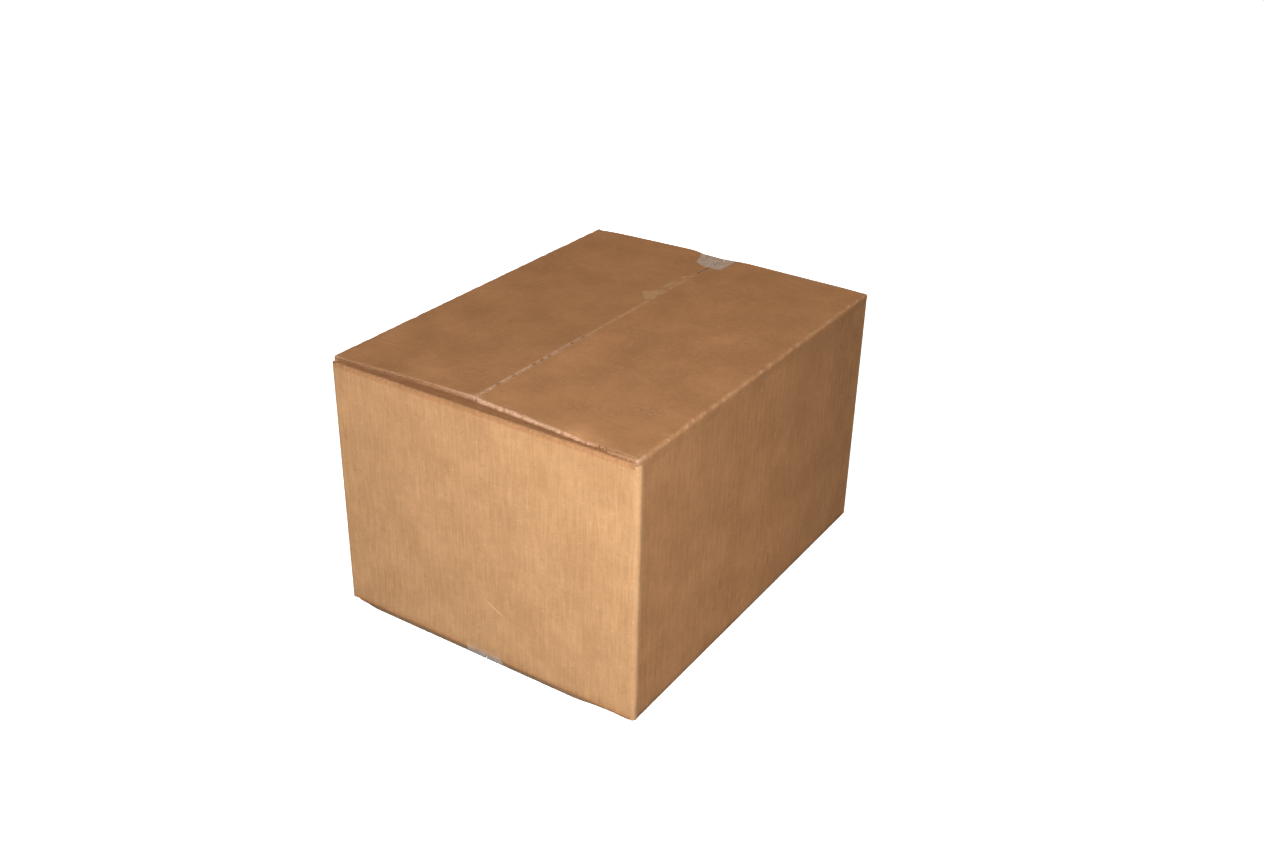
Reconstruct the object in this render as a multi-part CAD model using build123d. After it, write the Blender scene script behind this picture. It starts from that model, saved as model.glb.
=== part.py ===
from build123d import *
import os
from math import atan2, cos, sin, tan

# A closed regular slotted carton of single-wall corrugated board, with its strips of clear tape.
# Frame: origin on the floor under the middle of the box, +X to the right along the short front
# panel, +Y from the front panel to the back one along the long side, +Z up. Millimetres.

os.makedirs("parts", exist_ok=True)

# Driving dimensions
length = 372.0  # outside, over the short front and back panels
width = 291.0  # outside, over the long side panels
height = 232.5  # floor to the top of the long folds
board = 4.0  # thickness of the board
fold_radius = 3.5  # outside of the upright folds and of the crisp top folds
soft_fold_radius = 8.0  # outside of the worn folds under the long panels
flap_clearance = 0.3  # air between stacked flaps, and beside the inner ones
seam_gap = 1.0  # between the edges of the outer flaps where they meet
flap_setback = 2.1  # ends of the outer flaps behind the short panels' faces
inner_flap = 144.0  # reach of the short panels' flaps, fold to free edge
slot_land = 5.0  # the slots between flaps stop this far from the floor and the top folds
panel_overlap = 1.0  # the plain wall runs this far past the start of a fold before it is joined

# How far each outer flap on top springs up at the seam, at its front and back ends
left_rise_front = 6.5
left_rise_back = 2.6
right_rise_front = 5.5
right_rise_back = 1.4

# Worn and torn ends
lip_setback = 0.5  # the one uncrushed stretch of the right top flap's front end
lip_width = 29.0  # its length, from the right corner
worn_setback = 6.5  # front corners of the flaps underneath
worn_flat = 9.0  # how far from a side the full wear reaches
worn_left = 27.5  # where the wear ends, from the left side
worn_right = 61.5  # where the wear ends, from the right side
top_worn_setback = 4.5  # front left corner of the left top flap
top_worn_left = 40.0  # where that wear ends, from the left side

# Glued joint, inside at the back left corner
joint_tab = 35.0  # reach of the tab along the back panel
joint_end_gap = 4.0  # the tab stops this far from the inner flaps
joint_edge = 0.5  # raw edge of the back panel, short of the left panel's face

# Clear tape
film = 0.08  # film and adhesive
tape_width = 36.0
tape_side_room = 1.0  # the board is pressed in by the film this far past its edges
bottom_tape_leg = 13.0  # up the front and back panels, from the floor
top_tape_reach = 33.0  # onto the outer flaps, from the back panel's face
top_tape_drop = 45.0  # down the back panel, from the top folds
top_tape_offset = -6.0  # middle of the strip, from the seam
turn_room = 1.5  # a strip meets a panel this far before the middle of its fold

# Places worked out from them
side_x = width / 2
end_y = length / 2
inner_top = height - board - flap_clearance  # upper face of the inner flaps on top
inner_bottom = board + flap_clearance  # lower face of the inner flaps underneath
wall_top = inner_top - fold_radius - panel_overlap
wall_bottom = max(soft_fold_radius, inner_bottom + fold_radius) + panel_overlap
flap_run = side_x - seam_gap / 2
inner_half = side_x - board - flap_clearance
recess_half = tape_width / 2 + tape_side_room
above = height  # any height well over the flaps, for cutting tools


def across(y):
    """Plane of a section across the box at y: local x is X, local y is Z."""
    return Plane(origin=(0, y, 0), x_dir=(1, 0, 0), z_dir=(0, -1, 0))


def along(x):
    """Plane of a section along the box at x: local x is Y, local y is Z."""
    return Plane(origin=(x, 0, 0), x_dir=(0, 1, 0), z_dir=(1, 0, 0))


def outline(points, rounded=()):
    """A face from its corners, with the numbered corners rounded: (corner, radius) pairs."""
    face = make_face(Polyline(*points, close=True).edges())
    for corner, radius in rounded:
        place = Vector(*points[corner])
        vertex = face.vertices().sort_by_distance(place)[0]
        face = fillet(vertex, radius)
    return face


def flap_top(side, x, y):
    """Height of an outer top flap's upper face. Side is -1 on the left, 1 on the right."""
    rise_front = left_rise_front if side < 0 else right_rise_front
    rise_back = left_rise_back if side < 0 else right_rise_back
    back_share = (y + end_y) / length
    rise = rise_front + (rise_back - rise_front) * back_share
    return height + rise * (side_x - abs(x)) / flap_run


def top_flap_section(side, y):
    """Section of an outer top flap with its fold and the stub of its panel."""
    rise = flap_top(side, side * seam_gap / 2, y) - height
    tilt = atan2(rise, flap_run)
    tip_x = seam_gap / 2
    under_x = tip_x - board * sin(tilt)
    under_z = height + rise - board * cos(tilt)
    crease_z = height + board * tan(tilt) - board / cos(tilt)
    points = [
        (side * side_x, wall_top),
        (side * side_x, height),
        (side * tip_x, height + rise),
        (side * under_x, under_z),
        (side * (side_x - board), crease_z),
        (side * (side_x - board), wall_top),
    ]
    return across(y) * outline(points, [(1, fold_radius)])


def top_flap(side, front_y):
    """An outer top flap, twisted a little because it springs up more at the front."""
    back_y = end_y - flap_setback
    return loft([top_flap_section(side, front_y), top_flap_section(side, back_y)], ruled=True)


def plan_prism(points, low, high):
    """A prism with a plan outline, between two heights."""
    return Pos(0, 0, low) * extrude(outline(points), amount=high - low)


def left_top_flap():
    front_y = flap_setback - end_y
    flap = top_flap(-1, front_y)
    worn = [
        (-side_x - board, front_y - board),
        (-side_x - board, top_worn_setback - end_y),
        (-side_x, top_worn_setback - end_y),
        (-side_x + top_worn_left, front_y),
        (-side_x + top_worn_left, front_y - board),
    ]
    return flap - plan_prism(worn, wall_top + panel_overlap, wall_top + above)


def right_top_flap():
    flap = top_flap(1, lip_setback - end_y)
    crushed = [
        (-seam_gap, -end_y),
        (-seam_gap, flap_setback - end_y),
        (side_x - lip_width, flap_setback - end_y),
        (side_x - lip_width, -end_y),
    ]
    return flap - plan_prism(crushed, wall_top, wall_top + above)


def bottom_flap(side):
    """An outer flap underneath, flat on the floor, pressed in by the film beside the seam."""
    points = [
        (side * side_x, wall_bottom),
        (side * side_x, 0),
        (side * recess_half, 0),
        (side * recess_half, film),
        (side * seam_gap / 2, film),
        (side * seam_gap / 2, board),
        (side * (side_x - board), board),
        (side * (side_x - board), wall_bottom),
    ]
    bend = [(1, soft_fold_radius), (6, soft_fold_radius - board)]
    run = length - 2 * flap_setback
    section = across(end_y - flap_setback) * outline(points, bend)
    return extrude(section, amount=run, dir=(0, -1, 0))


def bottom_wear(side, reach):
    """What is worn off the front corner of an outer flap underneath."""
    outer = side * (side_x + board)
    front_y = flap_setback - end_y
    points = [
        (outer, front_y - board),
        (outer, worn_setback - end_y),
        (side * (side_x - worn_flat), worn_setback - end_y),
        (side * (side_x - reach), front_y),
        (side * (side_x - reach), front_y - board),
    ]
    return plan_prism(points, -board, wall_bottom)


def inner_flap_section(face_z, wall_z, up):
    """Section, in Y and Z, of a short panel's flap, fold and stub. Up is 1 on top, -1 below."""
    points = [
        (end_y, wall_z),
        (end_y, face_z),
        (end_y - inner_flap, face_z),
        (end_y - inner_flap, face_z - up * board),
        (end_y - board, face_z - up * board),
        (end_y - board, wall_z),
    ]
    return outline(points, [(1, fold_radius)])


def inner_flap_pair(face_z, wall_z, up):
    """The flaps of the back and front panels at one end of the box."""
    section = along(-inner_half) * inner_flap_section(face_z, wall_z, up)
    back = extrude(section, amount=2 * inner_half, dir=(1, 0, 0))
    return back + mirror(back, about=Plane.XZ)


def wall_plan():
    """Plan of the four panels: folded at three corners, overlapped at the glued one."""
    outer = RectangleRounded(width, length, fold_radius)
    ring = outer - Rectangle(width - 2 * board, length - 2 * board)
    reach = board + fold_radius
    corner = Pos(-side_x, end_y) * Rectangle(2 * reach, 2 * (board + reach))
    lap_y = end_y - board
    fold = [
        (-side_x, lap_y - reach),
        (-side_x, lap_y),
        (-side_x + reach, lap_y),
        (-side_x + reach, lap_y - board),
        (-side_x + board, lap_y - board),
        (-side_x + board, lap_y - reach),
    ]
    raw_edge = [
        (-side_x + joint_edge, lap_y),
        (-side_x + joint_edge, end_y),
        (-side_x + reach, end_y),
        (-side_x + reach, lap_y),
    ]
    return ring - corner + outline(fold, [(1, fold_radius)]) + outline(raw_edge)


def panels():
    """The four panels up to their folds, and the corner posts that the slots stop at."""
    plan = wall_plan()
    walls = Pos(0, 0, wall_bottom) * extrude(plan, amount=wall_top - wall_bottom)
    span = Rectangle(width - 2 * board, 2 * length) + Rectangle(2 * width, length - 2 * board)
    posts = Pos(0, 0, slot_land) * extrude(plan - span, amount=height - 2 * slot_land)
    return walls + posts


def glued_tab():
    """The tab of the left panel, glued to the inside of the back one."""
    low = inner_bottom + board + joint_end_gap
    high = inner_top - board - joint_end_gap
    lap_y = end_y - board
    points = [
        (-side_x + board, lap_y - board),
        (-side_x + board, lap_y),
        (-side_x + board + joint_tab, lap_y),
        (-side_x + board + joint_tab, lap_y - board),
    ]
    return plan_prism(points, low, high)


def carton():
    sheet = panels() + glued_tab()
    sheet += inner_flap_pair(inner_top, wall_top, 1)
    sheet += inner_flap_pair(inner_bottom, wall_bottom, -1)
    sheet += left_top_flap()
    sheet += right_top_flap()
    sheet += bottom_flap(-1) - bottom_wear(-1, worn_left)
    sheet += bottom_flap(1) - bottom_wear(1, worn_right)
    return sheet


def bottom_tape():
    """Strip along the seam underneath, turned up over the front and back panels."""
    edge_y = end_y - flap_setback
    turn_z = inner_bottom + fold_radius - turn_room
    outer = [
        (-end_y - film, bottom_tape_leg),
        (-end_y - film, turn_z),
        (-edge_y - film, 0),
        (edge_y + film, 0),
        (end_y + film, turn_z),
        (end_y + film, bottom_tape_leg),
    ]
    inner = [
        (end_y, bottom_tape_leg),
        (end_y, turn_z),
        (edge_y, film),
        (-edge_y, film),
        (-end_y, turn_z),
        (-end_y, bottom_tape_leg),
    ]
    section = along(-tape_width / 2) * outline(outer + inner)
    return extrude(section, amount=tape_width, dir=(1, 0, 0))


def top_tape_section(x):
    """The top strip at x: lying on a flap, over its back end and down the back panel."""
    side = -1 if x < 0 else 1
    tip_y = end_y - top_tape_reach
    edge_y = end_y - flap_setback
    turn_z = inner_top - fold_radius + turn_room
    low_z = height - top_tape_drop
    under = [
        (tip_y, flap_top(side, x, tip_y)),
        (edge_y, flap_top(side, x, edge_y)),
        (end_y, turn_z),
        (end_y, low_z),
    ]
    over = [
        (end_y + film, low_z),
        (end_y + film, turn_z),
        (edge_y + film, flap_top(side, x, edge_y) + film),
        (tip_y, flap_top(side, x, tip_y) + film),
    ]
    return along(x) * outline(under + over)


def top_tape():
    """Short strip over the back end of the top seam, turned down over the back panel."""
    left_x = top_tape_offset - tape_width / 2
    right_x = top_tape_offset + tape_width / 2
    places = (left_x, -seam_gap / 2, seam_gap / 2, right_x)
    return loft([top_tape_section(x) for x in places], ruled=True)


for name, shape in {
    "carton": carton(),
    "bottom_tape": bottom_tape(),
    "top_tape": top_tape(),
}.items():
    solids = shape.solids()
    print(name, "solids", len(solids), "volume", round(sum(s.volume for s in solids)))
    export_step(shape, f"parts/{name}.step")
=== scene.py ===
# %% [markdown]
# # A closed cardboard box, taped underneath
#
# A regular slotted carton is one sheet of corrugated board: four panels in a ring, glued into a
# tube at one corner, and eight flaps, four on top and four underneath. It is shut, and strips of
# clear film hold its seams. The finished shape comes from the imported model, which is loaded first
# and never moved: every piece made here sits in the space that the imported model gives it.

# %% Load the frame
import math
from collections import namedtuple

import bmesh
import bpy
from mathutils import Matrix, Vector, noise


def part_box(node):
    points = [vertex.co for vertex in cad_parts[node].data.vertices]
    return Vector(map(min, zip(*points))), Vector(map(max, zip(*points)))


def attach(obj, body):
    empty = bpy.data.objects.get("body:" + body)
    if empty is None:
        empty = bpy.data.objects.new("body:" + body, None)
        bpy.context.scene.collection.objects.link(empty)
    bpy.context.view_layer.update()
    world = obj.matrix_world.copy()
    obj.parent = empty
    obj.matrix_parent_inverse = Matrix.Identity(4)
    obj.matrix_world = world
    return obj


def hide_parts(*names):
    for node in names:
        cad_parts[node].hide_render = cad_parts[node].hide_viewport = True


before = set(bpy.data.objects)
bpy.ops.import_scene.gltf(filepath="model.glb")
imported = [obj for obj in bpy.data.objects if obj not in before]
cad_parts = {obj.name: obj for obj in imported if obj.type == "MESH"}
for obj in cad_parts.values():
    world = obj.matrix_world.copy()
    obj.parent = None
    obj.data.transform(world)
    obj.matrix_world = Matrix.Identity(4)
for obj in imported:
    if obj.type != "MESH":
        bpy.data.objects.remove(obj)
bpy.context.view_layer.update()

# %% [markdown]
# ## Sizes
#
# Shapes are worked out in millimetres, as a carton maker would draw them, and turned into metres
# when each mesh is made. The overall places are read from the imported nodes. What can't be read
# from a box, such as the board's thickness or how sharply it folds, has its own name here.

# %% Sizes and places
MM = 0.001
carton_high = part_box("carton")[1] / MM
side_x = carton_high.x
end_y = carton_high.y

BOARD = 4.0
FOLD_RADIUS = 3.5
SOFT_FOLD_RADIUS = 8.0
FLAP_CLEARANCE = 0.3
SEAM_GAP = 1.0
FLAP_SETBACK = 2.1
INNER_FLAP = 144.0
SLOT_LAND = 5.0
FLUTE_PITCH = 7.8
TAPE_HALF = 18.0
BOTTOM_LEG = 13.0
TOP_TAPE_X = -6.0
TOP_TAPE_DROP = 45.0

# How far the seam of each top flap stands above its fold, at the front and at the back
SPRING = {-1: (6.5, 2.6), 1: (5.5, 1.4)}
# the carton's highest point is the left flap's seam corner, a setback in from the front
front_share = FLAP_SETBACK / (2 * end_y)
left_front_rise = SPRING[-1][0] + (SPRING[-1][1] - SPRING[-1][0]) * front_share
fold_top = carton_high.z - left_front_rise
inner_top = fold_top - BOARD - FLAP_CLEARANCE
inner_bottom = BOARD + FLAP_CLEARANCE
wall_top = inner_top - FOLD_RADIUS - 1
wall_bottom = SOFT_FOLD_RADIUS + 1
inner_half = side_x - BOARD - FLAP_CLEARANCE
print(f"folds {fold_top:.1f} mm up, walls {wall_bottom:.1f} to {wall_top:.1f} mm")

# %% [markdown]
# ## Folding a stretch of board
#
# Every stretch of board is drawn the way it is folded: a line that runs straight, turns on a
# radius and runs on. The line is the outer liner, seen end-on, and the inner liner follows it a
# board's thickness inside. On a crisp fold the inner liner can't turn on a radius, so it meets
# itself in a crease. A subdivision surface could round the folds too, but it would also soften
# the cut edges, which are crisp on real board, so the folds are true arcs here.

# %% The folded line
Sample = namedtuple("Sample", "distance outer inner normal")


def steps(length, step):
    """Equal steps that add up to a length, each no longer than the step asked for."""
    count = max(1, math.ceil(length / step))
    return [length * (i + 1) / count for i in range(count)]


def heading_of(angle):
    """The way that a line with this angle runs."""
    return Vector((math.cos(angle), math.sin(angle)))


def outward_of(angle):
    """The way that the outer face of a line with this angle looks."""
    return Vector((math.sin(angle), -math.cos(angle)))


def folded_line(start, heading, moves):
    """Samples along ("run", length, step) and ("turn", degrees, radius) moves, always leftwards.

    The outer face looks to the right of the way the line runs.
    """
    place = Vector(start)
    angle = math.radians(heading)
    out = outward_of(angle)
    samples = [Sample(0.0, place, place - out * BOARD, out)]
    distance = 0.0
    for kind, amount, size in moves:
        if kind == "run":
            for walked in steps(amount, size):
                outer = place + heading_of(angle) * walked
                samples.append(Sample(distance + walked, outer, outer - out * BOARD, out))
            distance += amount
        else:
            sweep = math.radians(amount)
            centre = place - out * size
            squeeze = max(0.0, BOARD - size)
            crease = centre - (out + outward_of(angle + sweep)) * squeeze
            if squeeze:
                samples[-1] = samples[-1]._replace(inner=crease)
            for turned in steps(sweep, math.radians(15)):
                out = outward_of(angle + turned)
                inner = crease if squeeze else centre + out * (size - BOARD)
                samples.append(Sample(distance + size * turned, centre + out * size, inner, out))
            angle += sweep
            distance += size * sweep
        place = samples[-1].outer
    return samples


print(f"folds: {FOLD_RADIUS} mm crisp, {SOFT_FOLD_RADIUS} mm worn soft, board {BOARD} mm")

# %% [markdown]
# ## A solid stretch of board with real cut edges
#
# Corrugated board is two flat liners with a wavy medium glued between them. Where it is cut, the
# liners' edges show as two thin lines, with the medium's wave between them when the cut crosses
# the flutes, or its edge as one long line when the cut runs along them. Drawing that in a
# material would look flat from close up, so each cut edge is modelled: the rim goes liner,
# hollow, medium, hollow, liner. Edges that only meet the next stretch of board stay plain.

# %% The board mesh
# shares of the board's thickness: a liner, half the medium, and how far its wave swings
LINER = 0.09
MEDIUM_HALF = 0.045
MEDIUM_SWING = 0.3
# how steeply the rim drops beside a liner or the medium, and how deep the medium's edge lies
RIM_STEP = 0.01
MEDIUM_DEPTH = 0.25

# outer and inner are points; paper is the place on the flat sheet: across and along the flutes;
# worn and the darkening value go from 0 to 1, the darkening being real dirt in places and painted
# shade on the inner flaps' rolls; hollow is the depth between the liners, 0 where nothing is cut
Spot = namedtuple("Spot", "outer inner paper worn dirty hollow")


def rim_profile(spot):
    """(share of the thickness, depth) pairs across a cut edge, from the outer to the inner skin."""
    wave = 2 * math.pi * spot.paper[0] / FLUTE_PITCH + 2.5 * noise.noise(
        Vector((spot.paper[1] / 60, 0, 3))
    )
    medium = 0.5 + MEDIUM_SWING * math.sin(wave)
    return [
        (LINER, 0),
        (LINER + RIM_STEP, spot.hollow),
        (medium - MEDIUM_HALF - RIM_STEP, spot.hollow),
        (medium - MEDIUM_HALF, MEDIUM_DEPTH * spot.hollow),
        (medium + MEDIUM_HALF, MEDIUM_DEPTH * spot.hollow),
        (medium + MEDIUM_HALF + RIM_STEP, spot.hollow),
        (1 - LINER - RIM_STEP, spot.hollow),
        (1 - LINER, 0),
    ]


class MeshParts:
    """The points and faces of one mesh, with what the materials read at each point."""

    def __init__(self):
        self.points = []
        self.papers = []
        self.worn = []
        self.dirty = []
        self.skins = []
        self.rims = []

    def add_point(self, where, spot, depth):
        """Adds a point, a share of the way from the outer skin to the inner, and numbers it."""
        self.points.append(where * MM)
        self.papers.append((spot.paper[0] * MM, spot.paper[1] * MM, depth * BOARD * MM))
        self.worn.append(spot.worn)
        self.dirty.append(spot.dirty)
        return len(self.points) - 1


def corners_of(cell):
    """The four corners of a grid cell, in order round it."""
    i, j = cell
    return [(i, j), (i + 1, j), (i + 1, j + 1), (i, j + 1)]


def board_parts(columns, rows, place, present=None, profile=rim_profile):
    """A closed stretch of board over a grid, with a rim round every side of the present cells."""
    parts = MeshParts()
    spots = {(i, j): place(c, r) for i, c in enumerate(columns) for j, r in enumerate(rows)}
    cells = [
        (i, j)
        for i in range(len(columns) - 1)
        for j in range(len(rows) - 1)
        if present is None or present(i, j)
    ]
    outer, inner, touching, edges = {}, {}, {}, {}
    for cell in cells:
        around = corners_of(cell)
        middle = sum((spots[c].outer for c in around), Vector()) / 4
        for corner in around:
            if corner not in outer:
                outer[corner] = parts.add_point(spots[corner].outer, spots[corner], 0)
                inner[corner] = parts.add_point(spots[corner].inner, spots[corner], 1)
            touching.setdefault(corner, []).append(middle)
        parts.skins.append([outer[c] for c in around])
        parts.skins.append([inner[c] for c in reversed(around)])
        for a, b in zip(around, around[1:] + around[:1]):
            edges[(a, b)] = edges.get((a, b), 0) + 1
    border = [(a, b) for a, b in edges if (b, a) not in edges]
    rims = {}
    for corner in {c for edge in border for c in edge}:
        spot = spots[corner]
        inward = sum(touching[corner], Vector()) / len(touching[corner]) - spot.outer
        inward.normalize()
        rims[corner] = [outer[corner]]
        for share, depth in profile(spot):
            where = spot.outer.lerp(spot.inner, share) + inward * depth
            rims[corner].append(parts.add_point(where, spot, share))
        rims[corner].append(inner[corner])
    for a, b in border:
        for k in range(len(rims[a]) - 1):
            parts.rims.append([rims[b][k], rims[a][k], rims[a][k + 1], rims[b][k + 1]])
    return parts


def make_piece(name, parts, materials):
    """The Blender object of a mesh, riding on the part's one body."""
    mesh = bpy.data.meshes.new(name)
    mesh.from_pydata(parts.points, [], parts.skins + parts.rims)
    for label, kind, values in (
        ("paper", "FLOAT_VECTOR", parts.papers),
        ("worn", "FLOAT", parts.worn),
        ("dirty", "FLOAT", parts.dirty),
    ):
        layer = mesh.attributes.new(label, kind, "POINT")
        if kind == "FLOAT":
            layer.data.foreach_set("value", values)
        else:
            layer.data.foreach_set("vector", [number for value in values for number in value])
    for material in materials:
        mesh.materials.append(material)
    for index, face in enumerate(mesh.polygons):
        is_skin = index < len(parts.skins)
        face.use_smooth = is_skin
        face.material_index = 0 if is_skin else len(materials) - 1
    work = bmesh.new()
    work.from_mesh(mesh)
    bmesh.ops.remove_doubles(work, verts=work.verts, dist=0.001 * MM)
    bmesh.ops.recalc_face_normals(work, faces=work.faces)
    for edge in work.edges:
        edge.smooth = all(face.smooth for face in edge.link_faces)
    work.to_mesh(mesh)
    work.free()
    piece = bpy.data.objects.new(name, mesh)
    bpy.context.scene.collection.objects.link(piece)
    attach(piece, "root")
    print(f"{name}: {len(mesh.polygons)} faces")
    return piece


print(f"cut edges: liners {LINER * BOARD:.2f} mm thick, a wave every {FLUTE_PITCH} mm between them")

# %% [markdown]
# ## Adding a shader node
#
# Materials are node trees. One function adds any node with its options and inputs, where an
# input is either a value or another node's output, so a whole material reads as a short list.
# Colours are given as the sRGB hex values that a paint chart would use.

# %% Node and colour helpers
def add(tree, kind, inputs, **options):
    """Adds a node, sets its options, and fills each input with a value or a link."""
    made = tree.nodes.new("ShaderNode" + kind)
    for option, value in options.items():
        setattr(made, option, value)
    for key, value in inputs.items():
        if isinstance(value, bpy.types.NodeSocket):
            tree.links.new(value, made.inputs[key])
        else:
            made.inputs[key].default_value = value
    return made


def linear(hex_colour):
    """An sRGB hex colour as the linear RGBA that shaders take."""
    values = [int(hex_colour[i : i + 2], 16) / 255 for i in (1, 3, 5)]
    curved = [v / 12.92 if v <= 0.04045 else ((v + 0.055) / 1.055) ** 2.4 for v in values]
    return (*curved, 1.0)


def new_material(name):
    """An empty node material and its surface output."""
    material = bpy.data.materials.new(name)
    material.use_nodes = True
    tree = material.node_tree
    tree.nodes.clear()
    output = tree.nodes.new("ShaderNodeOutputMaterial")
    return material, tree, output


print("mid grey in linear light:", [round(value, 3) for value in linear("#808080")])

# %% [markdown]
# ## Kraft linerboard
#
# The outer liner is unbleached kraft paper with recycled fibre in it: a matt, warm brown, cloudy
# at the scale of a hand, flecked with short darker and paler fibres, and pressed slightly into
# the flutes behind it, so that faint bands run along them every 7.8 mm. Its colour follows the
# bands too, paler on the crests and darker between them: partly rubbed crests and partly painted
# highlight and shade. The front panel is painted a little paler and yellower than the rest, a lit
# copy of the liner that stands for the stronger light on it, and all of it is worn pale where it
# is folded or rubbed. An image of cardboard would repeat and stop at the folds, so every pattern
# is worked out from the place on the flat sheet, and the bands and fibres turn with the flaps.

# %% The kraft liner material
# dense, middling and thin paper: the liner's own warm shades, and for the front panel a paler,
# yellower copy, painted light that stands for the stronger light falling on it
WARM = ("#b88357", "#bd875a", "#c38c5f")
LIT_FRONT_SHADES = ("#b7885d", "#bc8d61", "#c29266")
FIBRE_DARK = "#8a6038"
FIBRE_PALE = "#dcb48c"
# the dark tone that the mesh's darkening mixes in: smudges and dirt, and painted shade on the rolls
DIRT_AND_SHADE = "#5f4733"
# sizes of the patterns; real fibres are finer than 0.7 mm, which is as fine as shows
CLOUD_MM = 38
BAND_PATCH_MM = 6
STREAK_MM = 1.8
BLOTCH_MM = 8
FIBRE_MM = 0.7
FLECK_MM = 1.4
SCUFF_MM = 1.5
GRAIN_MM = 3


def kraft_tree(tree, shades, lines):
    """The liner's colour and height sockets, shared by the plain and the scratched liner."""
    paper = add(tree, "Attribute", {}, attribute_name="paper").outputs["Vector"]
    worn = add(tree, "Attribute", {}, attribute_name="worn").outputs["Fac"]
    dirty = add(tree, "Attribute", {}, attribute_name="dirty").outputs["Fac"]

    clouds = add(tree, "TexNoise", {"Vector": paper, "Scale": 1 / (CLOUD_MM * MM), "Detail": 4.0,
                                    "Roughness": 0.55})
    base = add(tree, "ValToRGB", {"Fac": clouds.outputs["Fac"]})
    base.color_ramp.elements[0].position = 0.36
    base.color_ramp.elements[0].color = linear(shades[0])
    base.color_ramp.elements[1].position = 0.66
    base.color_ramp.elements[1].color = linear(shades[2])
    middle = base.color_ramp.elements.new(0.5)
    middle.color = linear(shades[1])

    # fibres lie across the flutes, the way the paper ran through the mill
    lay = add(tree, "Mapping", {"Vector": paper, "Scale": (1 / 5, 1.0, 1.0)})
    fibres = add(tree, "TexNoise", {"Vector": lay.outputs["Vector"], "Scale": 1 / (FIBRE_MM * MM),
                                    "Detail": 3.0, "Roughness": 0.6})
    fibre_tone = add(tree, "MapRange", {"Value": fibres.outputs["Fac"], "From Min": 0.3,
                                        "From Max": 0.7, "To Min": 0.93, "To Max": 1.06})

    # the washboard: paler on the raised crests and darker in the hollows between them, partly
    # rubbed crests and partly painted highlight and shade of the relief; broken up in patches
    apart = add(tree, "SeparateXYZ", {"Vector": paper})
    phase = add(tree, "Math", {0: apart.outputs["X"], 1: 2 * math.pi / (FLUTE_PITCH * MM)},
                operation="MULTIPLY")
    crest = add(tree, "Math", {0: phase.outputs[0]}, operation="COSINE")
    long_patches = add(tree, "Mapping", {"Vector": paper, "Scale": (1.0, 0.16, 1.0)})
    strength = add(tree, "TexNoise", {"Vector": long_patches.outputs["Vector"],
                                      "Scale": 1 / (BAND_PATCH_MM * MM), "Detail": 3.0})
    strong = add(tree, "MapRange", {"Value": strength.outputs["Fac"], "From Min": 0.45,
                                    "From Max": 0.75, "To Min": 0.0, "To Max": 0.05 * lines})
    crest_wear_and_shade = add(tree, "Math", {0: crest.outputs[0], 1: strong.outputs[0]}, operation="MULTIPLY")

    # thin streaks along the flutes, and blotches where the paper is denser
    drawn = add(tree, "Mapping", {"Vector": paper, "Scale": (1.0, 0.07, 1.0)})
    streaks = add(tree, "TexNoise", {"Vector": drawn.outputs["Vector"],
                                     "Scale": 1 / (STREAK_MM * MM), "Detail": 2.0})
    streak_tone = add(tree, "MapRange", {"Value": streaks.outputs["Fac"], "From Min": 0.3,
                                         "From Max": 0.7, "To Min": -0.075 * lines,
                                         "To Max": 0.075 * lines})
    blotches = add(tree, "TexNoise", {"Vector": paper, "Scale": 1 / (BLOTCH_MM * MM),
                                      "Detail": 3.0, "Roughness": 0.65, "Distortion": 0.8})
    blotch_tone = add(tree, "MapRange", {"Value": blotches.outputs["Fac"], "From Min": 0.32,
                                         "From Max": 0.68, "To Min": -0.05, "To Max": 0.05})
    uneven = add(tree, "Math", {0: streak_tone.outputs[0], 1: blotch_tone.outputs[0]},
                 operation="ADD")
    lined = add(tree, "Math", {0: crest_wear_and_shade.outputs[0], 1: uneven.outputs[0]}, operation="ADD")
    tone = add(tree, "Math", {0: lined.outputs[0], 1: fibre_tone.outputs[0]}, operation="ADD")
    toned = add(tree, "VectorMath", {0: base.outputs["Color"], "Scale": tone.outputs[0]},
                operation="SCALE")

    # short darker and paler fibres from recycled stock
    flecks = add(tree, "TexNoise", {"Vector": lay.outputs["Vector"], "Scale": 1 / (FLECK_MM * MM),
                                    "Detail": 1.0})
    dark = add(tree, "MapRange", {"Value": flecks.outputs["Fac"], "From Min": 0.70,
                                  "From Max": 0.78, "To Min": 0.0, "To Max": 0.5})
    darker = add(tree, "Mix", {0: dark.outputs[0], 6: toned.outputs["Vector"],
                               7: linear(FIBRE_DARK)}, data_type="RGBA")
    pale = add(tree, "MapRange", {"Value": flecks.outputs["Fac"], "From Min": 0.30,
                                  "From Max": 0.22, "To Min": 0.0, "To Max": 0.45})
    paler = add(tree, "Mix", {0: pale.outputs[0], 6: darker.outputs[2],
                              7: linear(FIBRE_PALE)}, data_type="RGBA")

    # scuffs: short pale strokes where the box has slid against others
    turn = add(tree, "Mapping", {"Vector": paper, "Rotation": (0, 0, math.radians(68)),
                                 "Scale": (1.0, 0.14, 1.0)})
    strokes = add(tree, "TexNoise", {"Vector": turn.outputs["Vector"],
                                     "Scale": 1 / (SCUFF_MM * MM), "Detail": 2.0})
    scuffed = add(tree, "MapRange", {"Value": strokes.outputs["Fac"], "From Min": 0.69,
                                     "From Max": 0.76, "To Min": 0.0, "To Max": 0.4})
    rubbed = add(tree, "Mix", {0: scuffed.outputs[0], 6: paler.outputs[2],
                               7: linear(FIBRE_PALE)}, data_type="RGBA")
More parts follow.
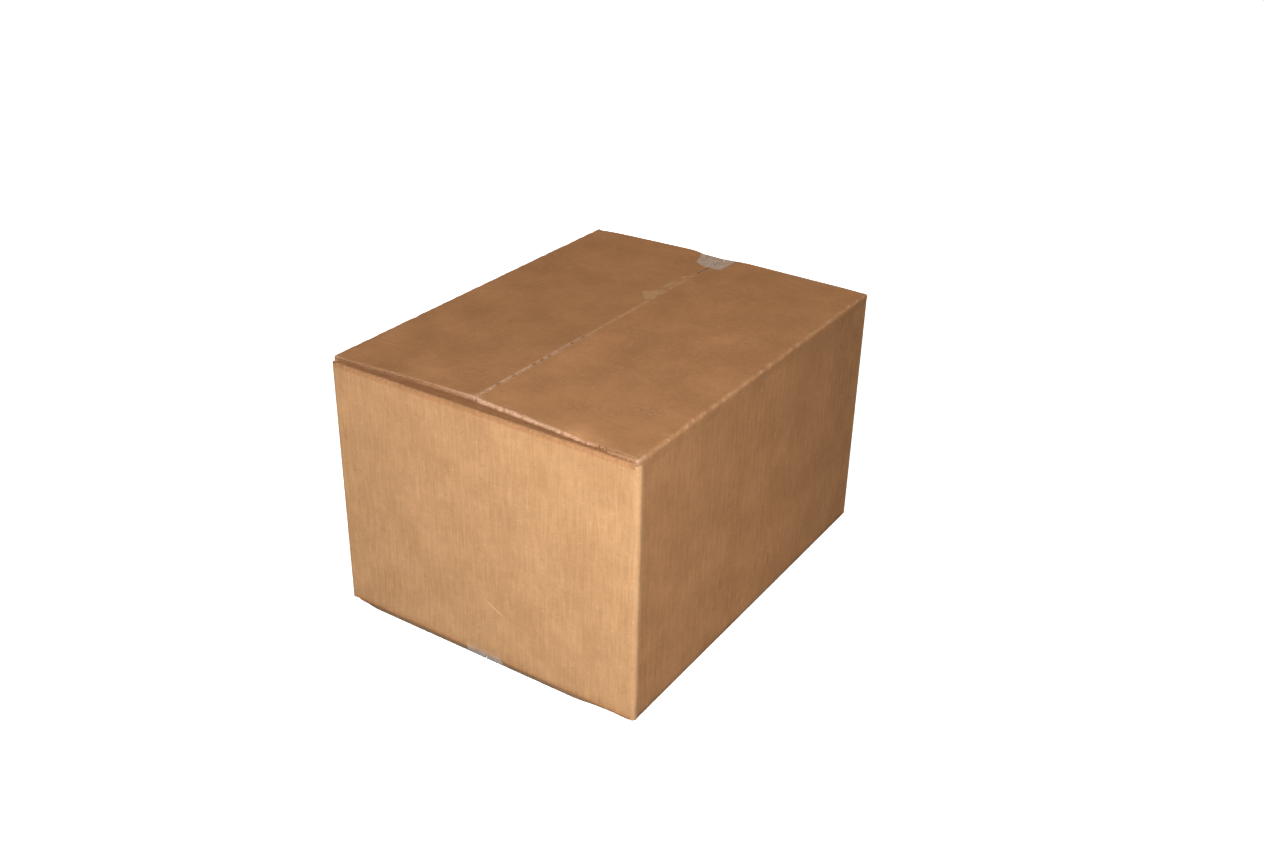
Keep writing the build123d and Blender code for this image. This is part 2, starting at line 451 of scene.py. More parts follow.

    # wear, dirt and painted shade come from the mesh and are broken up by the paper's own grain
    grain = add(tree, "TexNoise", {"Vector": paper, "Scale": 1 / (GRAIN_MM * MM), "Detail": 3.0})
    ragged = add(tree, "MapRange", {"Value": grain.outputs["Fac"], "From Min": 0.3,
                                    "From Max": 0.65, "To Min": 0.25, "To Max": 1.0})
    wear = add(tree, "Math", {0: worn, 1: ragged.outputs[0]}, operation="MULTIPLY")
    faded = add(tree, "Mix", {0: wear.outputs[0], 6: rubbed.outputs[2],
                              7: linear(FIBRE_PALE)}, data_type="RGBA")
    darkening = add(tree, "Math", {0: dirty, 1: ragged.outputs[0]}, operation="MULTIPLY")
    darkened = add(tree, "Mix", {0: darkening.outputs[0], 6: faded.outputs[2], 7: linear(DIRT_AND_SHADE)},
                 data_type="RGBA")
    return darkened.outputs[2], fibres.outputs["Fac"], clouds.outputs["Fac"]


SCRATCH_PALE = "#efc492"
SCRATCH_STRENGTH = 0.5
SCRATCH_FADE = 4


def scratch_over(tree, colour, scratch):
    """A pale arc over the liner, from its centre, its radius and where it starts and ends."""
    centre_x, centre_z, radius, start, end = [value * MM for value in scratch]
    paper = add(tree, "Attribute", {}, attribute_name="paper").outputs["Vector"]
    away = add(tree, "VectorMath", {0: paper, 1: (centre_x, centre_z, 0)}, operation="DISTANCE")
    off = add(tree, "Math", {0: away.outputs["Value"], 1: radius}, operation="SUBTRACT")
    gap = add(tree, "Math", {0: off.outputs[0]}, operation="ABSOLUTE")
    line = add(tree, "MapRange", {"Value": gap.outputs[0], "From Min": 0.2 * MM,
                                  "From Max": 0.7 * MM, "To Min": 1.0, "To Max": 0.0})
    apart = add(tree, "SeparateXYZ", {"Vector": paper})
    begun = add(tree, "MapRange", {"Value": apart.outputs["X"], "From Min": start,
                                   "From Max": start + SCRATCH_FADE * MM})
    ended = add(tree, "MapRange", {"Value": apart.outputs["X"], "From Min": end - SCRATCH_FADE * MM,
                                   "From Max": end, "To Min": 1.0, "To Max": 0.0})
    low = add(tree, "Math", {0: apart.outputs["Y"], 1: centre_z}, operation="LESS_THAN")
    mask = line.outputs[0]
    for factor in (begun.outputs[0], ended.outputs[0], low.outputs[0], SCRATCH_STRENGTH):
        mask = add(tree, "Math", {0: mask, 1: factor}, operation="MULTIPLY").outputs[0]
    mixed = add(tree, "Mix", {0: mask, 6: colour, 7: linear(SCRATCH_PALE)}, data_type="RGBA")
    return mixed.outputs[2]


def kraft_liner(name, shades=WARM, lines=1.0, scratch=None):
    """Matt kraft paper: soft highlights only, with its fibres as a very fine relief."""
    material, tree, output = new_material(name)
    colour, fibres, clouds = kraft_tree(tree, shades, lines)
    if scratch:
        colour = scratch_over(tree, colour, scratch)
    bump = add(tree, "Bump", {"Height": fibres, "Strength": 0.25, "Distance": 0.15 * MM})
    rough = add(tree, "MapRange", {"Value": clouds, "To Min": 0.7, "To Max": 0.85})
    shader = add(tree, "BsdfPrincipled", {"Base Color": colour, "Roughness": rough.outputs[0],
                                          "IOR": 1.5, "Specular IOR Level": 0.15,
                                          "Normal": bump.outputs["Normal"]})
    tree.links.new(shader.outputs[0], output.inputs["Surface"])
    return material


kraft = kraft_liner("unbleached_kraft_liner")
rubbed_kraft = kraft_liner("rubbed_kraft_liner", lines=0.35)
print("made", kraft.name, rubbed_kraft.name)

# %% [markdown]
# ## Raw cut edge
#
# A cut bares the fibre: fuzzy, unpressed paper, paler and pinker than the liner's face, with no
# sheen at all. The hollows between the liners go dark by themselves, because they are real.

# %% The cut edge material
OLD_EDGE = ("#84583a", "#b2835c")
FRESH_EDGE = ("#a9744f", "#f0c8a8")
EDGE_DIRT = "#74624c"
FUZZ_MM = 0.9


def raw_edge(name):
    """Bare, unpressed fibre: rough and without gloss, brown when old and pale where it's frayed."""
    material, tree, output = new_material(name)
    paper = add(tree, "Attribute", {}, attribute_name="paper").outputs["Vector"]
    worn = add(tree, "Attribute", {}, attribute_name="worn").outputs["Fac"]
    dirty = add(tree, "Attribute", {}, attribute_name="dirty").outputs["Fac"]
    fuzz = add(tree, "TexNoise", {"Vector": paper, "Scale": 1 / (FUZZ_MM * MM), "Detail": 4.0,
                                  "Roughness": 0.7})
    spread = add(tree, "MapRange", {"Value": fuzz.outputs["Fac"], "From Min": 0.32,
                                    "From Max": 0.62})
    old = add(tree, "Mix", {0: spread.outputs[0], 6: linear(OLD_EDGE[0]),
                            7: linear(OLD_EDGE[1])}, data_type="RGBA")
    fresh = add(tree, "Mix", {0: spread.outputs[0], 6: linear(FRESH_EDGE[0]),
                              7: linear(FRESH_EDGE[1])}, data_type="RGBA")
    tone = add(tree, "Mix", {0: worn, 6: old.outputs[2], 7: fresh.outputs[2]}, data_type="RGBA")
    darkened = add(tree, "Mix", {0: dirty, 6: tone.outputs[2], 7: linear(EDGE_DIRT)},
                 data_type="RGBA")
    bump = add(tree, "Bump", {"Height": fuzz.outputs["Fac"], "Strength": 0.6,
                              "Distance": 0.3 * MM})
    shader = add(tree, "BsdfPrincipled", {"Base Color": darkened.outputs[2], "Roughness": 0.95,
                                          "IOR": 1.5, "Specular IOR Level": 0.1,
                                          "Normal": bump.outputs["Normal"]})
    tree.links.new(shader.outputs[0], output.inputs["Surface"])
    return material


bare_fibre = raw_edge("raw_corrugated_edge")
print("made", bare_fibre.name)

# %% [markdown]
# ## A scratched front
#
# Something has scratched the front panel low down, in a short arc that shows as a pale line.
# Everything else about it is the liner in the paler, yellower shades that paint the stronger light
# on the front, so the material is built by the same function and only asks for those shades and
# the arc: the paper's distance from a circle, kept to a short stretch of it.

# %% The scratched liner
SCRATCH = (38.0, 105.0, 56.0, 2.0, 21.6)
# the front panel's paler, yellower shades are painted light: they stand for the stronger light on
# it
scratched_front_kraft_painted_lit = kraft_liner("scratched_front_liner_painted_lit", LIT_FRONT_SHADES, scratch=SCRATCH)
print("made", scratched_front_kraft_painted_lit.name)

# %% [markdown]
# ## Clear tape
#
# Packing tape is clear biaxial polypropylene. It is smooth and glossy, and against kraft it is
# mostly seen by its shine and by a milky haze where it hasn't stuck down. A true refracting film
# would need many bounces of light for the same look, so it is a thin, nearly clear gloss with the
# fine wrinkles that it takes when it is pressed on by hand, and cloudier where the mesh says so.

# %% The film material
FILM_MILKY = "#fffbf0"
WRINKLE_MM = 7
clear_film, tree, output = new_material("clear_polypropylene_film")
wrinkles = add(tree, "TexNoise", {
    "Vector": add(tree, "Attribute", {}, attribute_name="paper").outputs["Vector"],
    "Scale": 1 / (WRINKLE_MM * MM), "Detail": 3.0, "Roughness": 0.6,
})
ripple = add(tree, "Bump", {"Height": wrinkles.outputs["Fac"], "Strength": 0.2,
                            "Distance": 0.3 * MM})
gloss = add(tree, "MapRange", {"Value": wrinkles.outputs["Fac"], "To Min": 0.22, "To Max": 0.42})
haze = add(tree, "Attribute", {}, attribute_name="worn").outputs["Fac"]
patchy = add(tree, "MapRange", {"Value": wrinkles.outputs["Fac"], "From Min": 0.35,
                                "From Max": 0.6, "To Min": 0.4, "To Max": 1.0})
hazy = add(tree, "Math", {0: haze, 1: patchy.outputs[0]}, operation="MULTIPLY")
cover = add(tree, "MapRange", {"Value": hazy.outputs[0], "To Min": 0.015, "To Max": 0.3})
film_shader = add(tree, "BsdfPrincipled", {"Base Color": linear(FILM_MILKY),
                                           "Alpha": cover.outputs[0], "IOR": 1.49,
                                           "Roughness": gloss.outputs[0],
                                           "Normal": ripple.outputs["Normal"]})
tree.links.new(film_shader.outputs[0], output.inputs["Surface"])
print("made", clear_film.name)

# %% [markdown]
# ## Washboard and dents
#
# Drying glue pulls the liner down between the flutes' crests by less than a tenth of a
# millimetre, and handling leaves wide, shallow dents. Both are moves of the mesh, always inwards
# from the flat face, so that the box never grows. They fade out at folds and edges, where the
# next stretch of board begins.

# %% Relief of the liner
WASHBOARD = 0.09
DENT = 0.5
RELIEF_FADE = 9


def drift(a, b, seed):
    """Smooth noise between -1 and 1 over a place in units of its own choosing."""
    return noise.noise(Vector((a, b, seed)))


def relief(across, along, edge, ribs=1.0):
    """How far the liner lies below its flat face, edge being the way to the nearest border."""
    strength = 0.6 + 0.6 * drift(across / 40, along / 120, 1)
    valley = 0.5 - 0.5 * math.cos(2 * math.pi * across / FLUTE_PITCH)
    dents = 0.5 + 0.5 * drift(across / 75, along / 95, 7)
    fade = min(1.0, max(0.0, edge / RELIEF_FADE))
    return fade * (ribs * WASHBOARD * max(0.0, strength) * valley + DENT * dents)


def near(distance, reach):
    """1 at nothing, falling smoothly to almost 0 past the reach."""
    return math.exp(-((distance / reach) ** 2))


print(f"relief: washboard {WASHBOARD} mm, dents up to {DENT} mm")

# %% [markdown]
# ## The four panels
#
# The panels are one strip folded round three corners and glued at the fourth. The front panel's
# stretch takes both of its folds with it, so that its light upright edges are unbroken. At the
# back left corner the left panel's end is turned in as a tab, and the back panel laps over it
# with its raw edge showing. Above and below, each corner keeps a short post between the slots.

# %% Panel rows and the placing of a panel
COLUMN = 1.3
FRONT_COLUMN = 1.0
ROW = 5.0
FOLD_LAND = 2.0
CUT_DEPTH = 0.9
FILM_MARGIN = 2.0
# what keeps two faces from falling in the same place
HAIR = 0.03
post_low = SLOT_LAND
post_high = fold_top - SLOT_LAND
low_rows = [post_low, (post_low + wall_bottom) / 2]
wall_rows = [wall_bottom] + [wall_bottom + s for s in steps(wall_top - wall_bottom, ROW)]
high_rows = [(wall_top + post_high) / 2, post_high]
panel_rows = low_rows + wall_rows + high_rows
first_wall = len(low_rows)
last_wall = first_wall + len(wall_rows) - 1
post_run = BOARD - FOLD_RADIUS
print(f"{len(panel_rows)} rows up a panel, {len(wall_rows)} of them on its wall")


def from_corner(place):
    """Distance along the panels from the nearest upright corner."""
    return side_x - abs(place.x) + end_y - abs(place.y)


def from_film(x, y, z):
    """How far a place on the front or back panel is from the film over it."""
    reach = TAPE_HALF + FILM_MARGIN
    below = max(abs(x) - reach, z - BOTTOM_LEG - FILM_MARGIN)
    above = max(abs(x - TOP_TAPE_X) - reach, fold_top - TOP_TAPE_DROP - FILM_MARGIN - z)
    return min(below, above) if y > 0 else below


def panel(name, line, flute_start, face=None, cut_end=False, corner_wear=0.4):
    """One panel from its line in plan. flute_start carries the flutes round the box."""

    def place(sample, z):
        corner = from_corner(sample.outer)
        edge = min(corner - 6, z - wall_bottom, wall_top - z)
        if end_y - abs(sample.outer.y) < 1:
            edge = min(edge, from_film(sample.outer.x, sample.outer.y, z))
        across = flute_start + sample.distance
        out = Vector((sample.normal.x, sample.normal.y, 0))
        outer = Vector((sample.outer.x, sample.outer.y, z)) - out * relief(across, z, edge)
        inner = Vector((sample.inner.x, sample.inner.y, z))
        worn = corner_wear * near(corner - 2.5, 2.8) * (0.8 + 0.5 * drift(z / 24, across / 9, 11))
        # darker towards the foot of the wall, just above the rounded bottom fold
        dirty = 0.3 * near(z - wall_bottom, 5) * (0.6 + 0.5 * drift(across / 20, z / 9, 5))
        cut = z in (post_low, post_high) or (cut_end and sample is line[-1])
        return Spot(outer, inner, (across, z), max(0.0, worn), max(0.0, dirty), CUT_DEPTH * cut)

    def present(i, j):
        ends = (line[i].outer, line[i + 1].outer)
        on_post = all(max(side_x - abs(p.x), end_y - abs(p.y)) < BOARD + 0.001 for p in ends)
        return on_post and cut_posts or first_wall <= j < last_wall

    cut_posts = abs(line[len(line) // 2].outer.y) > end_y - 1
    parts = board_parts(line, panel_rows, place, present)
    piece = make_piece(name, parts, [face or kraft, bare_fibre])
    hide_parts("carton")
    return piece


# %% Front and right panels
front_flat = 2 * (side_x - BOARD)
front_line = folded_line((-side_x, -end_y + FOLD_RADIUS + FOLD_LAND), -90, [
    ("run", FOLD_LAND - post_run, FOLD_LAND),
    ("run", post_run, FOLD_LAND),
    ("turn", 90, FOLD_RADIUS),
    ("run", post_run, FOLD_LAND),
    ("run", front_flat, FRONT_COLUMN),
    ("run", post_run, FOLD_LAND),
    ("turn", 90, FOLD_RADIUS),
    ("run", post_run, FOLD_LAND),
    ("run", FOLD_LAND - post_run, FOLD_LAND),
])
front_half = front_line[-1].distance / 2
front_panel = panel("front_panel", front_line, -front_half, scratched_front_kraft_painted_lit, corner_wear=0.16)

side_half = end_y - FOLD_RADIUS - FOLD_LAND
right_line = folded_line((side_x, -side_half), 90, [("run", 2 * side_half, COLUMN)])
right_panel = panel("right_panel", right_line, front_half)

# %% Back panel, with its raw edge over the tab
JOINT_EDGE = 0.5
back_line = folded_line((side_x, side_half), 90, [
    ("run", FOLD_LAND - post_run, FOLD_LAND),
    ("run", post_run, FOLD_LAND),
    ("turn", 90, FOLD_RADIUS),
    ("run", post_run, FOLD_LAND),
    ("run", front_flat, COLUMN),
    ("run", BOARD - JOINT_EDGE, COLUMN),
])
back_panel = panel("back_panel", back_line, front_half + 2 * side_half, cut_end=True)

# %% Left panel, turned in at the glued corner, and its tab
JOINT_TAB = 35.0
JOINT_END_GAP = 4.0
lap_y = end_y - BOARD
left_line = folded_line((-side_x + FOLD_RADIUS, lap_y), 180, [
    ("turn", 90, FOLD_RADIUS),
    ("run", lap_y - FOLD_RADIUS + side_half, COLUMN),
])
left_panel = panel("left_panel", left_line, -front_half - left_line[-1].distance)

tab_low = inner_bottom + BOARD + JOINT_END_GAP
tab_high = inner_top - BOARD - JOINT_END_GAP
tab_rows = [tab_low] + [tab_low + s for s in steps(tab_high - tab_low, 20)]
tab_line = folded_line((-side_x + BOARD + JOINT_TAB, lap_y), 180, [
    ("run", BOARD + JOINT_TAB - FOLD_RADIUS, 2),
])


def tab_place(sample, z):
    """The glued tab, flat against the back panel's inside."""
    outer = Vector((sample.outer.x, sample.outer.y, z))
    inner = Vector((sample.inner.x, sample.inner.y, z))
    cut = z in (tab_low, tab_high) or sample is tab_line[0]
    return Spot(outer, inner, (sample.distance, z), 0.0, 0.0, CUT_DEPTH * cut)


glued_tab = make_piece("glued_tab", board_parts(tab_line, tab_rows, tab_place),
                       [kraft, bare_fibre])
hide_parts("carton")

# %% [markdown]
# ## The long flaps on top
#
# Nothing holds these two flaps down but a short strip of film at the back, so they spring up
# towards the seam, most of all at the front, where a thin shadow shows under them. Each is one
# profile, up the panel, over the fold and along to the free edge, sheared upwards by its spring.
# Handling has bowed the left one, crushed the front end of the right one and frayed both ends,
# and the film pulls their back ends down. Those are small moves of the same mesh.

# %% How a long top flap lies
BOW = 1.1
# how much the seam's edge drops, or lifts, behind the front quarter of the left and right flap
SEAM_DROP = {-1: 1.2, 1: -0.3}
# places along the right flap's front end: how far out, how wide and how deep it is crushed
CRUSHED = ((66, 13, 1.0), (94, 12, 2.1), (113, 9, 1.2))
CRUSH_LENGTH = 9
RAGGED_U = 88.0
RAGGED_REACH = 28.0
RAGGED_DEPTH = 1.5
# how much of a press thins the board; the rest bends it down
CRUSH_SHARE = 0.8
# how far the film pulls the back ends down, and how far the back corners sag
PULLED = 1.6
PULLED_LENGTH = 30
SAGGED = {-1: 1.0, 1: 0.4}
SAGGED_REACH = 16
# how far the film draws each flap's edge towards the other, and how far wear rounds it off
DRAWN_IN = 0.4
CHAFED = 0.4
# the right flap's uncrushed lip, and the left flap's worn-back corner
LIP_WIDTH = 29.0
LIP_SETBACK = 0.5
WORN_SETBACK = 4.5
WORN_LENGTH = 40.0
flap_front = FLAP_SETBACK - end_y
flap_back = end_y - FLAP_SETBACK
flap_run = side_x - SEAM_GAP / 2


def smooth(value, start, end):
    """0 before start, 1 after end, and a smooth rise between them."""
    share = min(1.0, max(0.0, (value - start) / (end - start)))
    return share * share * (3 - 2 * share)


def slope(side, y):
    """How steeply a long top flap rises towards the seam."""
    front, back = SPRING[side]
    return (front + (back - front) * (y + end_y) / (2 * end_y)) / flap_run


def pressed(side, u, y):
    """How far a long top flap is crushed or pulled down, u out from the middle of the box."""
    from_hold = max(0.0, -22 - side * u) / 8 + max(0.0, side * u - 2) / 14
    down = PULLED * near(from_hold, 1) * near(end_y - y, PULLED_LENGTH)
    down += SAGGED[side] * near(math.hypot(side_x - u, end_y - y), SAGGED_REACH)
    if side > 0:
        for middle, reach, depth in CRUSHED:
            down += depth * near(u - middle, reach) * near(y + end_y, CRUSH_LENGTH)
        ragged = RAGGED_DEPTH * abs(drift(u / 1.7, y / 2, 35))
        down += ragged * near(u - RAGGED_U, RAGGED_REACH) * near(y + end_y, 4)
    return down * smooth(side_x - u, 0, 5)


def spring(side, u, y):
    """Height of a long top flap's face over the folds, before it is pressed."""
    rise = slope(side, y) * (side_x - u)
    drop = SEAM_DROP[side] * smooth(y, -65, -25)
    if side > 0:
        return rise - drop * near(u, 30)
    bow = near(u - 70, 42) * (1 - smooth(y, -160, 60))
    bow *= smooth(side_x - u, 0, 25) * smooth(u, 0, 20)
    return rise + BOW * bow - drop * near(u, 38 - 18 * smooth(y, 120, 170))


def frayed(u, seed):
    """How far the cut end is worn back, in short tufts and longer bites."""
    return 0.5 * abs(drift(u / 1.6, 0, seed)) + 0.6 * max(0.0, drift(u / 7, 0, seed + 1))


def front_trim(side, u):
    """How far the front end of a long top flap is behind, or before, its clean cut."""
    if side < 0:
        worn_back = max(0.0, 1 - (side_x - u) / WORN_LENGTH)
        return (WORN_SETBACK - FLAP_SETBACK) * worn_back + 0.5 * frayed(u, 21)
    if side_x - u < LIP_WIDTH:
        return LIP_SETBACK - FLAP_SETBACK + 0.3 * frayed(u, 31)
    return frayed(u, 31) * (1 + 1.8 * near(u - 92, 26)) + 1.8 * near(u - 110, 4)


def corner_inset(y):
    """How far the wall curves inwards where it turns the upright corner."""
    past = min(FOLD_RADIUS, max(0.0, abs(y) - end_y + FOLD_RADIUS))
    return FOLD_RADIUS - math.sqrt(FOLD_RADIUS**2 - past**2)


print(f"seam at the front: left {fold_top + spring(-1, 0.5, flap_front):.1f} mm,"
      f" right {fold_top + spring(1, 0.5, flap_front):.1f} mm")

# %% [markdown]
# ## Marks on the top
#
# The top has had tape torn off it beside the seam, which took the paper's skin along and left a
# lighter, ragged patch. There are a few dark smudges, and the edges that hands and other boxes
# touch, the seam and the long folds, are rubbed pale. Where the seam meets the front, a pale spot
# is a painted highlight on the cut edges. Each mark is a value on the mesh's points, and the kraft
# material breaks its outline up with the paper's grain.

# %% Where the top is worn and dirty
TORN_LENGTH = 17.0
TORN_Y = 67.0
TORN_HALF = 13.0
# smaller bared spots behind the torn patch, and smudges: middle x and y, half width and length
BARED = ((-6, 94, 3, 9, 0.7), (-5, 118, 2.3, 2.3, 1.0))
SMUDGES = ((-57, -88, 5, 5), (-37, 14, 7, 2.5), (62, -150, 16, 9), (112, -120, 10, 14))


def top_wear_and_glint(side, u, y, seam_away, fold_away):
    """Rubbed edges, the seam's broken pale line, a painted front highlight and the torn patch."""
    x = side * u
    dashes = smooth(drift(y / 5, 0, 41) + 0.35, 0, 0.35)
    worn = 0.8 * dashes * near(seam_away, 1.1) * (1 - 0.6 * smooth(y, 120, 150))
    # a pale spot where the seam meets the front end: a painted highlight on the cut edges there
    worn = max(worn, 0.9 * near(math.hypot(x, y - flap_front), 4))
    rubbed = 0.18 + 0.8 * drift(y / 8, 0, 45 + side) + 1.1 * drift(y / 2.2, u / 3, 47)
    worn = max(worn, rubbed * near(fold_away - 0.9, 1.5))
    corner_scuff = 0.5 + 1.2 * drift(y / 3, fold_away / 2, 48)
    worn = max(worn, corner_scuff * near(fold_away - 1, 4) * near(y - flap_front, 9))
    bright = 0.65 if side > 0 else 0.35 * smooth(60 - u, 0, 60)
    front = bright * smooth(drift(u / 4, 0, 49) + 0.5, 0, 0.4)
    worn = max(worn, front * near(y - flap_front, 0.8))
    if side < 0:
        wide = TORN_HALF * smooth(x, -TORN_LENGTH - 2, -4) + 2 * drift(x / 4, y / 4, 51)
        if wide > 1 and abs(y - TORN_Y) < wide:
            worn = max(worn, 0.55 + 0.3 * drift(x / 3, y / 3, 53))
        for middle_x, middle_y, half_x, half_y, bare in BARED:
            away = math.hypot((x - middle_x) / half_x, (y - middle_y) / half_y)
            worn = max(worn, bare * near(away, 1))
    return min(1.0, max(0.0, worn))


def top_dirt(x, y):
    """Smudges, and a faint general grime."""
    darkening = 0.10 + 0.16 * drift(x / 35, y / 35, 61)
    for middle_x, middle_y, half_x, half_y in SMUDGES:
        away = math.hypot((x - middle_x) / half_x, (y - middle_y) / half_y)
        darkening += 0.28 * near(away, 1) * (0.7 + 0.6 * drift(x / 3, y / 3, 63))
    return min(1.0, max(0.0, darkening))


print("torn patch:", TORN_LENGTH, "by", 2 * TORN_HALF, "mm;", len(SMUDGES), "smudges")

# %% The long top flaps
FINE_ROWS = (0, 0.5, 1.0, 1.7, 2.6, 4.0)
long_rows = [flap_front + r for r in FINE_ROWS]
long_rows += [long_rows[-1] + s for s in steps(flap_back - long_rows[-1], 1.5)]
TOP_FOLD_RADIUS = 2.6
FOLD_DENT = 0.45
# the film reaches 33 mm along the flaps, and the liner is flat a little further
FILM_REACH = 36
long_line = folded_line((side_x, wall_top), 90, [
    ("run", fold_top - TOP_FOLD_RADIUS - wall_top, 1.0),
    ("turn", 90, TOP_FOLD_RADIUS),
    ("run", flap_run - TOP_FOLD_RADIUS - 6, 1.5),
    ("run", 6, 0.75),
])
FOLD_MIDDLE = fold_top - wall_top - TOP_FOLD_RADIUS + TOP_FOLD_RADIUS * math.pi / 4
print(f"a long top flap: {len(long_line)} points across, {len(long_rows)} rows along")


def long_top_flap(name, side):
    """An outer flap on top, on the left (-1) or the right (1)."""

    def place(sample, row):
        u = sample.outer.x
        y = row + front_trim(side, u) * near(row - flap_front, 6)
        rise = slope(side, y)
        down = pressed(side, u, y)
        flat = sample.normal.y
        edge = min(u - 4, y - flap_front - 3, flap_back - y - 3, side_x - u - 6)
        if abs(side * u - TOP_TAPE_X) < TAPE_HALF + 3:
            edge = min(edge, end_y - FILM_REACH - y)
        across = side * (row + front_half + side_half)
        lowered = down + relief(across, sample.distance, edge, 0.3) * flat
        inset = (corner_inset(y) + HAIR) * (1 - smooth(sample.outer.y, post_high, post_high + 2))
        fold_dent = FOLD_DENT * max(0.0, drift(y / 7, sample.distance / 5, 57) + 0.15)
        fold_dent *= near(sample.distance - FOLD_MIDDLE, 3)
        inset += fold_dent
        chafed = CHAFED * (0.75 + 0.5 * drift(y / 5, 0, 55)) * (1 - smooth(y, 125, 150))
        inset += chafed * near(u - SEAM_GAP / 2, 0.9)
        inset -= DRAWN_IN * smooth(y, 100, 130) * near(u - SEAM_GAP / 2, 4)
        outer = Vector((u - inset, y, sample.outer.y + spring(side, u, y) - lowered - fold_dent))
        thin = BOARD - CRUSH_SHARE * down * flat
        under = sample.outer + (sample.inner - sample.outer) * (thin / BOARD)
        inner = Vector((under.x - inset - rise * BOARD * flat, y, under.y + spring(side, u, y)))
        inner.z -= down * flat
        fold_away = sample.distance - FOLD_MIDDLE
        worn = top_wear_and_glint(side, u, y, u - SEAM_GAP / 2, fold_away)
        cut = row in (long_rows[0], long_rows[-1]) or sample is long_line[-1]
        outer.x *= side
        inner.x *= side
        paper = (across, wall_top + sample.distance)
        return Spot(outer, inner, paper, worn, top_dirt(side * u, y), CUT_DEPTH * cut)

    piece = make_piece(name, board_parts(long_line, long_rows, place),
                       [rubbed_kraft, bare_fibre])
    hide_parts("carton")
    return piece


top_left_flap = long_top_flap("top_left_flap", -1)
top_right_flap = long_top_flap("top_right_flap", 1)

# %% [markdown]
# ## The short flaps inside
#
# The front and back panels' flaps fold in first, on top and underneath, and the long flaps lie
# over them. All that shows is the roll of the fold under the raised front end of the long ones,
# but they are whole, because they also keep the gap between the long flaps closed.

# %% Inner flaps
ROLL_RADIUS = 2.0
inner_columns = [-inner_half + s for s in [0] + steps(2 * inner_half, 2.6)]


def short_flap(name, end, up):
    """An inner flap: end is -1 at the front and 1 at the back, up is 1 on top, -1 underneath."""
    wall = wall_top if up > 0 else -wall_bottom
    face = inner_top if up > 0 else -inner_bottom
    line = folded_line((end_y, wall), 90, [
        ("run", face - ROLL_RADIUS - wall, 1.0),
        ("turn", 90, ROLL_RADIUS),
        ("run", 12, 1.5),
        ("run", INNER_FLAP - ROLL_RADIUS - 12, 8),
    ])

    def place(x, sample):
        y, z = sample.outer
        bumps = 0.25 * max(0.0, drift(x / 6, sample.distance / 5, 71)) * near(y - end_y + 4, 4)
        sides = smooth(inner_half - abs(x), 0, 4) * smooth(sample.distance, 0, 3)
        under = sample.inner
        outer = Vector((x, end * (y - bumps * sides), up * (z - bumps * sides)))
        inner = Vector((x, end * under.x, up * under.y))
        # darker along the roll where it turns under the long flaps: painted shade, over a faint
        # even dirt
        dirty = 0.1 + 0.35 * near(sample.distance - 4, 2.5)
        along = wall_top + sample.distance if up > 0 else wall_bottom - sample.distance
        across = x if end < 0 else front_half + 2 * side_half + front_half - x
        cut = abs(x) > inner_half - 0.01 or sample is line[-1]
        return Spot(outer, inner, (across, along), 0.0, dirty, CUT_DEPTH * cut)

    piece = make_piece(name, board_parts(inner_columns, line, place),
                       [kraft, bare_fibre])
    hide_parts("carton")
    return piece


top_front_flap = short_flap("top_front_flap", -1, 1)
top_back_flap = short_flap("top_back_flap", 1, 1)
bottom_front_flap = short_flap("bottom_front_flap", -1, -1)
bottom_back_flap = short_flap("bottom_back_flap", 1, -1)

# %% [markdown]
# ## The long flaps underneath
#
# These carry the load, so they lie flat on the floor, and their folds are worn to a soft round.
# Their front corners have been dragged and knocked back. Beside the seam the film presses them
# in by its own thickness, so that it doesn't touch the floor through them.

# %% Bottom flaps
# (setback, how far it stays full, where it ends), out from the left and right sides
DRAGGED = {-1: (4.2, 8.0, 27.5), 1: (4.8, 26.0, 61.5)}
FILM = 0.08
bottom_rows = [flap_front + r for r in FINE_ROWS]
bottom_rows += [bottom_rows[-1] + s for s in steps(flap_back - bottom_rows[-1], 3)]
bottom_line = folded_line((side_x, -wall_bottom), 90, [
    ("run", wall_bottom - SOFT_FOLD_RADIUS, 1.0),
    ("turn", 90, SOFT_FOLD_RADIUS),
    ("run", side_x - SOFT_FOLD_RADIUS - TAPE_HALF - 1, 1.5),
    ("run", 0.4, 1.0),
    ("run", TAPE_HALF + 0.6 - SEAM_GAP / 2, 1.5),
])


def long_bottom_flap(name, side):
    """An outer flap underneath, on the left (-1) or the right (1)."""

    def place(sample, row):
        u = sample.outer.x
        setback, full, reach = DRAGGED[side]
        back = 1 - smooth(side_x - u, full, reach)
        trim = (setback - FLAP_SETBACK) * back + 0.5 * frayed(u, 81 + side)
        y = row + trim * near(row - flap_front, 9)
        inset = corner_inset(y) + HAIR
        pressed_in = FILM if u < TAPE_HALF + 0.8 else 0.0
        z = -sample.outer.y + pressed_in
        outer = Vector((side * (u - inset * near(u - side_x, 6)), y, z))
        inner = Vector((side * sample.inner.x, y, -sample.inner.y))
        dirty = 0.35 + 0.3 * drift(u / 12, y / 12, 83) + 0.35 * near(y - flap_front, 2)
        worn = 0.4 * near(side_x - u - 2, 5) * (0.5 + drift(y / 15, u / 6, 85))
        cut = row in (bottom_rows[0], bottom_rows[-1]) or sample is bottom_line[-1]
        across = side * (row + front_half + side_half)
        paper = (across, wall_bottom - sample.distance)
        return Spot(outer, inner, paper, max(0.0, worn), max(0.0, dirty), CUT_DEPTH * cut)

    piece = make_piece(name, board_parts(bottom_line, bottom_rows, place),
                       [kraft, bare_fibre])
    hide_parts("carton")
    return piece


bottom_left_flap = long_bottom_flap("bottom_left_flap", -1)
bottom_right_flap = long_bottom_flap("bottom_right_flap", 1)

